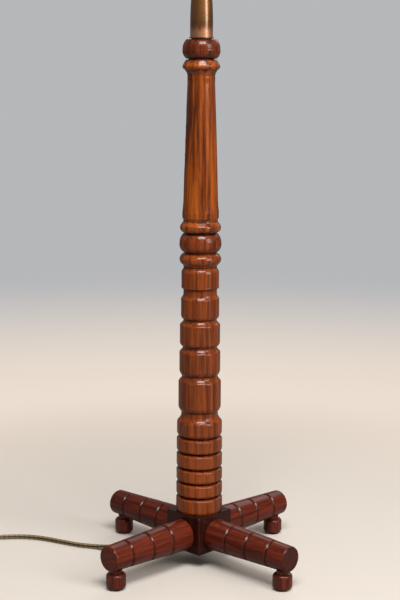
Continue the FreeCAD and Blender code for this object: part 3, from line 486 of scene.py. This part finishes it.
# Bulb: blown clear glass, cemented to a rolled brass screw cap with a black insulator and a brass contact.
# A glass mount holds a bent filament.
def glass_material():
    """Clear glass with a faint smear."""
    material, tree, shader = new_material("clear glass", Roughness=0.02, IOR=1.45, Transmission_Weight=1.0)
    point = added(tree, "ShaderNodeTexCoord").outputs["Object"]
    smear = cloudy(tree, point, 40.0, 3.0)
    tint = blended(tree, smear, (0.96, 0.97, 0.97, 1.0), (1.0, 1.0, 1.0, 1.0))
    tree.links.new(tint, shader.inputs["Base Color"])
    return material


dressed(glass_material(), "bulb_glass", "bulb_mount")
dressed(bright_brass, "bulb_cap", "bulb_contact")
dressed(black_plastic, "bulb_insulator")
filament_metal = metal_material("filament metal", (0.35, 0.33, 0.30), (0.24, 0.23, 0.21), roughness=0.35)
dressed(filament_metal, "bulb_filament")


# Shade: off-white slubbed cloth on a stiff white film, rolled into a cone and lapped at the back. Binding
# tape holds it to two steel wire rings, and a three-armed steel carrier stands on the lampholder.
dressed(steel, "shade_wire_bottom", "shade_wire_top", "shade_carrier")
shade_low, shade_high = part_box("shade_skin")
shade_foot, shade_head = shade_low[2], shade_high[2]
shade_foot_radius = shade_high[0]
shade_head_radius = 0.130
shade_thickness = 0.0012
shade_sides = 144
tape_width = 0.009
tape_lift = 0.0005
lap_angle = 1.5 * 2.0 * math.pi / shade_sides
lap_lift = 0.0004


def start_alone():
    """Nothing is selected, so that the next operator acts on the new piece only."""
    bpy.ops.object.select_all(action="DESELECT")


def shade_cone():
    """Open cone, cut round where the tapes end."""
    start_alone()
    bpy.ops.mesh.primitive_cone_add(
        vertices=shade_sides, radius1=shade_foot_radius, radius2=shade_head_radius,
        depth=shade_head - shade_foot, end_fill_type="NOTHING",
        location=(0.0, 0.0, (shade_foot + shade_head) / 2))
    bpy.ops.object.transform_apply(location=True, rotation=True, scale=True)
    piece = bpy.context.object
    bpy.ops.object.mode_set(mode="EDIT")
    for height in (shade_foot + tape_width, shade_head - tape_width):
        bpy.ops.mesh.select_all(action="SELECT")
        bpy.ops.mesh.bisect(plane_co=(0.0, 0.0, height), plane_no=(0.0, 0.0, 1.0))
    bpy.ops.object.mode_set(mode="OBJECT")
    return piece


def select_faces(piece, chosen):
    """Selects the faces whose middle and normal the test takes, and goes into edit mode."""
    bpy.ops.object.mode_set(mode="EDIT")
    bpy.ops.mesh.select_mode(type="FACE")
    bpy.ops.mesh.select_all(action="DESELECT")
    bpy.ops.object.mode_set(mode="OBJECT")
    for polygon in piece.data.polygons:
        polygon.select = chosen(polygon.center, polygon.normal)
    bpy.ops.object.mode_set(mode="EDIT")


shade = shade_cone()
shade.name = "shade"
tapes = (
    (lambda place, normal: place.z < shade_foot + tape_width, tape_lift / shade_foot_radius),
    (lambda place, normal: place.z > shade_head - tape_width, tape_lift / shade_head_radius),
)
for on_tape, growth in tapes:
    select_faces(shade, on_tape)
    bpy.ops.mesh.duplicate()
    bpy.ops.transform.resize(value=(1.0 + growth, 1.0 + growth, 1.0))
    bpy.ops.object.mode_set(mode="OBJECT")


def on_lap(place, normal):
    """Middle stretch of the skin, at the back."""
    between = shade_foot + tape_width < place.z < shade_head - tape_width
    return between and abs(math.atan2(place.x, place.y)) < lap_angle


select_faces(shade, on_lap)
bpy.ops.mesh.duplicate()
bpy.ops.transform.translate(value=(0.0, lap_lift, 0.0))
bpy.ops.object.mode_set(mode="OBJECT")
skin = shade.modifiers.new("thickness", "SOLIDIFY")
skin.thickness = shade_thickness
skin.offset = -1.0
skin.material_offset = 1
bpy.ops.object.modifier_apply(modifier=skin.name)
bpy.ops.object.shade_smooth_by_angle(angle=math.radians(30.0))


def cloth_material():
    """Plain weave with slubs. The threads run up the shade and round it, and meet at the lap."""
    material, tree, shader = new_material("shade cloth", Roughness=0.85, Sheen_Weight=0.15)
    middle_radius = 0.16
    slub_scale = 26.0
    warp_scale = 900.0
    weft_scale = 700.0
    parts = added(tree, "ShaderNodeSeparateXYZ", {0: added(tree, "ShaderNodeTexCoord").outputs["Object"]})
    away = calculated(tree, "MULTIPLY", parts.outputs["Y"], -1.0)
    bearing = calculated(tree, "ARCTAN2", parts.outputs["X"], away)
    round_it = calculated(tree, "MULTIPLY", bearing, middle_radius)
    up_it = parts.outputs["Z"]

    def slubs(across, along, fineness):
        """Noise drawn out along threads of one direction."""
        fine = calculated(tree, "MULTIPLY", across, fineness)
        coarse = calculated(tree, "MULTIPLY", along, slub_scale)
        thread = added(tree, "ShaderNodeCombineXYZ", {0: fine, 1: coarse}).outputs["Vector"]
        noise = added(tree, "ShaderNodeTexNoise", {"Vector": thread, "Scale": 1.0, "Detail": 3.0})
        return noise.outputs["Fac"]

    threads = calculated(tree, "MULTIPLY", slubs(round_it, up_it, warp_scale), 0.4)
    threads = calculated(tree, "MULTIPLY_ADD", slubs(up_it, round_it, weft_scale), 0.6, threads)
    tone = ranged(tree, threads, 0.34, 0.66)
    colour = blended(tree, tone, (0.42, 0.365, 0.285, 1.0), (0.64, 0.585, 0.49, 1.0))
    tree.links.new(colour, shader.inputs["Base Color"])
    bumped(tree, shader, threads, distance=0.0003, strength=0.8)
    return material


shade.data.materials.append(cloth_material())
shade.data.materials.append(moulded_material("shade film", (0.62, 0.60, 0.55), roughness=0.45))
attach(shade, "shade")
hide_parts("shade_skin")


# Strain relief: a soft black rubber grommet with a tapered tail, pressed into the flat on the hub's left
# corner. From there the flex runs up inside the tubes to the switch.
dressed(moulded_material("black rubber", (0.016, 0.015, 0.014), roughness=0.48), "cord_relief")


# Flex: flat twin with two stranded copper cores in a translucent olive-gold cover. It is one length,
# which leaves the strain relief, runs out over the floor, lies in a neat coil and ends in the plug.
flex_thickness = 0.0032
flex_on_edge = 0.0033           # height of its middle where its broad side stands up
lobe_points = 10
lobe_half_arc = 140.0           # degrees of a lobe on either side of its outermost line
exit_point = (-0.0619, 0.0, 0.027)
lead_route = [
    exit_point,
    (-0.080, 0.0, 0.027),
    (-0.101, 0.0075, 0.020),
    (-0.118, 0.022, 0.008),
    (-0.136, 0.035, flex_on_edge),
    (-0.161, 0.041, flex_on_edge),
    (-0.187, 0.054, flex_on_edge),
    (-0.213, 0.0675, flex_on_edge),
    (-0.239, 0.0745, flex_on_edge),
    (-0.267, 0.0725, flex_on_edge),
    (-0.297, 0.0685, flex_on_edge),
    (-0.3246, 0.0685, flex_on_edge),
]
coil_middle = (-0.331, 0.0264)
coil_outer = 0.0421
coil_pitch = 0.0069
coil_layers = 4
coil_turns_per_layer = 2
coil_full_turns = coil_layers * coil_turns_per_layer
coil_turns = coil_full_turns + 0.25
points_per_turn = 16
coil_route = []
for index in range(round(coil_turns * points_per_turn) + 1):
    turns = index / points_per_turn
    phase = turns % (2 * coil_turns_per_layer)
    inwards = min(phase, 2 * coil_turns_per_layer - phase)
    if turns > coil_full_turns:
        inwards = coil_full_turns - turns
    radius = (coil_outer - coil_pitch * inwards) / math.cos(math.pi / points_per_turn)
    height = flex_on_edge
    for layer in range(1, coil_layers):
        share = min(max((turns - layer * coil_turns_per_layer) / 0.5 + 0.5, 0.0), 1.0)
        height += coil_pitch * share * share * (3.0 - 2.0 * share)
    angle = math.radians(90.0) + 2.0 * math.pi * turns
    x = coil_middle[0] + radius * math.cos(angle)
    y = coil_middle[1] + radius * math.sin(angle)
    coil_route.append((x, y, height))
tail_x = coil_middle[0] - coil_outer - coil_pitch / 4
plug_middle_height = 0.0069
tail_route = [
    (tail_x, coil_middle[1] - 0.0064, 0.024),
    (tail_x, coil_middle[1] - 0.0224, 0.024),
    (tail_x - 0.0015, coil_middle[1] - 0.0424, 0.015),
    (tail_x - 0.0030, coil_middle[1] - 0.0624, plug_middle_height),
    (tail_x - 0.0025, coil_middle[1] - 0.0794, plug_middle_height),
]
# Turn of the broad side about the flex: it leaves the relief flat, stands on its edge from 0.1 m on, and
# lies flat again where it enters the plug. A stop is a distance from the start, or before the end, and a
# turn in degrees.
first_rolls = ((0.0, 0.0), (0.045, 0.0), (0.100, 90.0))
last_rolls = ((0.075, 90.0), (0.018, 0.0), (0.0, 0.0))


def smooth_line(name, points):
    """Points along the NURBS line that has these control points."""
    curve = bpy.data.curves.new(name, "CURVE")
    curve.dimensions = "3D"
    curve.resolution_u = 6
    spline = curve.splines.new("NURBS")
    spline.points.add(len(points) - 1)
    for point, place in zip(spline.points, points):
        point.co = (*place, 1.0)
    spline.order_u = 3
    spline.use_endpoint_u = True
    carrier = bpy.data.objects.new(name, curve)
    scene.collection.objects.link(carrier)
    line = bpy.data.meshes.new_from_object(carrier)
    places = [vertex.co.copy() for vertex in line.vertices]
    bpy.data.objects.remove(carrier)
    bpy.data.meshes.remove(line)
    return places


def flex_section():
    """Outline of the flat twin: two round lobes with a groove on each side between them."""
    lobe = flex_thickness / 2
    outline = []
    for side in (1, -1):
        for step in range(lobe_points):
            angle = math.radians(-lobe_half_arc + 2.0 * lobe_half_arc * step / (lobe_points - 1))
            outline.append((side * (lobe + lobe * math.cos(angle)), side * lobe * math.sin(angle)))
        outline.append((0.0, side * 0.45 * lobe))
    return outline


def roll_at(distance, total):
    """Turn of the flex's broad side at a distance along it."""
    stops = first_rolls + tuple((total - before, roll) for before, roll in last_rolls)
    for (start, first), (end, second) in zip(stops, stops[1:]):
        if distance <= end:
            share = (distance - start) / (end - start)
            return math.radians(first + (second - first) * share * share * (3.0 - 2.0 * share))
    return 0.0


def swept_flex(name, line, outline):
    """Mesh of the flex along a line, with a UV map that runs along it in metres and once round it."""
    lengths = [0.0]
    for start, end in zip(line, line[1:]):
        lengths.append(lengths[-1] + (end - start).length)
    vertices = []
    for index, place in enumerate(line):
        ahead = line[min(index + 1, len(line) - 1)] - line[max(index - 1, 0)]
        ahead.normalize()
        side = ahead.cross(Vector((0.0, 0.0, 1.0))).normalized()
        up = side.cross(ahead)
        roll = roll_at(lengths[index], lengths[-1])
        broad = side * math.cos(roll) + up * math.sin(roll)
        thin = up * math.cos(roll) - side * math.sin(roll)
        vertices += [place + broad * across + thin * height for across, height in outline]
    count = len(outline)
    faces = []
    uvs = []
    for ring in range(len(line) - 1):
        for corner in range(count):
            following = (corner + 1) % count
            base = ring * count
            next_base = base + count
            faces.append((base + corner, next_base + corner, next_base + following, base + following))
            low, high = corner / count, (corner + 1) / count
            near, far = lengths[ring], lengths[ring + 1]
            uvs += [(near, low), (far, low), (far, high), (near, high)]
    faces.append(tuple(range(count)))
    faces.append(tuple(reversed(range((len(line) - 1) * count, len(line) * count))))
    uvs += [(0.0, 0.0)] * (2 * count)
    mesh = bpy.data.meshes.new(name)
    mesh.from_pydata([tuple(vertex) for vertex in vertices], [], faces)
    layer = mesh.uv_layers.new(name="along")
    for corner, uv in zip(layer.data, uvs):
        corner.uv = uv
    for polygon in mesh.polygons:
        polygon.use_smooth = len(polygon.vertices) == 4
    piece = bpy.data.objects.new(name, mesh)
    scene.collection.objects.link(piece)
    return piece, lengths[-1]


def flex_material(name, has_uv):
    """Translucent olive cover with painted shade in the grooves, and a pale gold line where each core shows
    through.
    """
    material, tree, shader = new_material(name, Roughness=0.32, Coat_Weight=0.3)
    if has_uv:
        where = added(tree, "ShaderNodeUVMap", uv_map="along").outputs["UV"]
    else:
        where = added(tree, "ShaderNodeTexCoord").outputs["Object"]
    parts = added(tree, "ShaderNodeSeparateXYZ", {0: where})
    along, round_it = parts.outputs["X"], parts.outputs["Y"]
    half = calculated(tree, "FRACT", calculated(tree, "MULTIPLY", round_it, 2.0))
    off_top = calculated(tree, "ABSOLUTE", calculated(tree, "SUBTRACT", half, 0.41))
    groove = ranged(tree, off_top, 0.31, 0.40)
    core_inside = ranged(tree, off_top, 0.06, 0.20)
    core_outside = ranged(tree, off_top, 0.24, 0.33, 1.0, 0.0)
    core = calculated(tree, "MULTIPLY", core_inside, core_outside)
    twist = calculated(tree, "MULTIPLY_ADD", along, 900.0, calculated(tree, "MULTIPLY", round_it, 24.0))
    strands = ranged(tree, calculated(tree, "SINE", twist), -0.4, 0.9)
    cloud = cloudy(tree, where, 30.0)
    cover = blended(tree, cloud, (0.130, 0.095, 0.036, 1.0), (0.205, 0.162, 0.074, 1.0))
    gold = blended(tree, strands, (0.34, 0.20, 0.085, 1.0), (0.62, 0.45, 0.25, 1.0))
    colour = blended(tree, calculated(tree, "MULTIPLY", core, 0.85), cover, gold)
    # Painted shade in the grooves between the lobes.
    colour = blended(tree, groove, colour, (0.040, 0.027, 0.011, 1.0))
    tree.links.new(colour, shader.inputs["Base Color"])
    bumped(tree, shader, strands, distance=0.00008, strength=0.5)
    return material


flex_line = smooth_line("flex line", lead_route + coil_route + tail_route)
flex, flex_length = swept_flex("flex", flex_line, flex_section())
flex.data.materials.append(flex_material("flex cover", True))
dressed(flex_material("hidden flex cover", False), "flex_inside")
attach(flex, "lamp")
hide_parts("cord_lead", "cord_coil", "cord_tail")


# Plug: a flat two-pin plug moulded in one with its ribbed boot, in the flex's colour. Both broad faces
# are sunk a little and have ribs for the fingers. The two pins are plated.
plug_front_length = 0.020
plug_rear_length = 0.014
plug_width = 0.035
plug_rear_width = 0.016
plug_thickness = 0.0136
plug_rear_share = 0.9           # of the thickness, at the rear end
plug_edge_radius = 0.0022
sunk_margin = 0.0022
sunk_depth = 0.0006
sunk_from = 0.004               # past the rear part
rib_size = (0.0012, 0.022, 0.0016)
rib_edge_radius = 0.0004
rib_sink = 0.0009               # of its middle under the broad face
first_rib = 0.0052              # past the rear part
rib_spacing = 0.0024
ribs_a_face = 5
boot_length = 0.020
boot_radius = 0.0056
boot_tip_radius = 0.0042
boot_grooves = (0.004, 0.008, 0.012, 0.016)
boot_groove_half_width = 0.0007
boot_groove_share = 0.84        # of the radius that is left in a groove
plug_plastic = moulded_material("plug plastic", (0.30, 0.235, 0.115), roughness=0.36)
tail_end = Vector(tail_route[-1])
plug_heading = (tail_end - Vector(tail_route[-2])).normalized()
plug_bearing = math.atan2(plug_heading.y, plug_heading.x)


def laid_at_plug(piece, distance, tilt=0.0):
    """Lays a piece on the flex's last run, a distance past the flex's end, and applies its place."""
    start_alone()
    piece.select_set(True)
    bpy.context.view_layer.objects.active = piece
    piece.rotation_euler = (0.0, tilt, plug_bearing)
    piece.location = tail_end + plug_heading * distance
    bpy.ops.object.transform_apply(location=True, rotation=True, scale=True)


def plug_body():
    """Body with a tapered rear part, rounded edges and two sunk faces."""
    start_alone()
    bpy.ops.mesh.primitive_cube_add(size=1.0, scale=(plug_front_length, plug_width, plug_thickness),
                                    location=(plug_rear_length + plug_front_length / 2, 0.0, 0.0))
    bpy.ops.object.transform_apply(location=True, rotation=True, scale=True)
    piece = bpy.context.object
    select_faces(piece, lambda place, normal: normal.x < -0.9)
    bpy.ops.mesh.extrude_region_move(TRANSFORM_OT_translate={"value": (-plug_rear_length, 0.0, 0.0)})
    bpy.ops.transform.resize(value=(1.0, plug_rear_width / plug_width, plug_rear_share))
    bpy.ops.mesh.select_all(action="SELECT")
    bpy.ops.mesh.bevel(offset=plug_edge_radius, segments=4, affect="EDGES")
    bpy.ops.object.mode_set(mode="OBJECT")
    sunk_start = plug_rear_length + sunk_from
    select_faces(piece, lambda place, normal: abs(normal.z) > 0.99 and place.x > sunk_start)
    bpy.ops.mesh.inset(thickness=sunk_margin, depth=-sunk_depth)
    bpy.ops.object.mode_set(mode="OBJECT")
    return piece


def plug_rib(place, side):
    """Rounded bar across one of the sunk faces."""
    start_alone()
    bpy.ops.mesh.primitive_cube_add(size=1.0, scale=rib_size,
                                    location=(place, 0.0, side * (plug_thickness / 2 - rib_sink)))
    bpy.ops.object.transform_apply(location=True, rotation=True, scale=True)
    bpy.ops.object.mode_set(mode="EDIT")
    bpy.ops.mesh.select_all(action="SELECT")
    bpy.ops.mesh.bevel(offset=rib_edge_radius, segments=2, affect="EDGES")
    bpy.ops.object.mode_set(mode="OBJECT")
    return bpy.context.object


plug_parts = [plug_body()]
for side in (1, -1):
    for number in range(ribs_a_face):
        plug_parts.append(plug_rib(plug_rear_length + first_rib + rib_spacing * number, side))
start_alone()
for part in plug_parts:
    part.select_set(True)
plug = plug_parts[0]
bpy.context.view_layer.objects.active = plug
bpy.ops.object.join()
bpy.ops.object.shade_smooth_by_angle(angle=math.radians(35.0))
plug.name = "plug"

start_alone()
bpy.ops.mesh.primitive_cone_add(vertices=40, radius1=boot_tip_radius, radius2=boot_radius,
                                depth=boot_length, location=(0.0, 0.0, boot_length / 2))
bpy.ops.object.transform_apply(location=True, rotation=True, scale=True)
boot = bpy.context.object
boot.name = "plug_boot_ribbed"
for groove in boot_grooves:
    bpy.ops.object.mode_set(mode="EDIT")
    for height in (groove - boot_groove_half_width, groove, groove + boot_groove_half_width):
        bpy.ops.mesh.select_all(action="SELECT")
        bpy.ops.mesh.bisect(plane_co=(0.0, 0.0, height), plane_no=(0.0, 0.0, 1.0))
    bpy.ops.mesh.select_mode(type="VERT")
    bpy.ops.mesh.select_all(action="DESELECT")
    bpy.ops.object.mode_set(mode="OBJECT")
    for vertex in boot.data.vertices:
        vertex.select = abs(vertex.co.z - groove) < 0.0001
    bpy.ops.object.mode_set(mode="EDIT")
    bpy.ops.transform.resize(value=(boot_groove_share, boot_groove_share, 1.0))
    bpy.ops.object.mode_set(mode="OBJECT")
bpy.ops.object.shade_smooth_by_angle(angle=math.radians(30.0))
laid_at_plug(boot, 0.0, math.radians(90.0))
laid_at_plug(plug, boot_length)
for piece, node in ((plug, "plug_body"), (boot, "plug_boot")):
    piece.data.materials.append(plug_plastic)
    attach(piece, "lamp")
    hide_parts(node)
pin_metal = metal_material("pin metal", (0.74, 0.73, 0.71), (0.58, 0.57, 0.55), roughness=0.22)
dressed(pin_metal, "plug_pins")
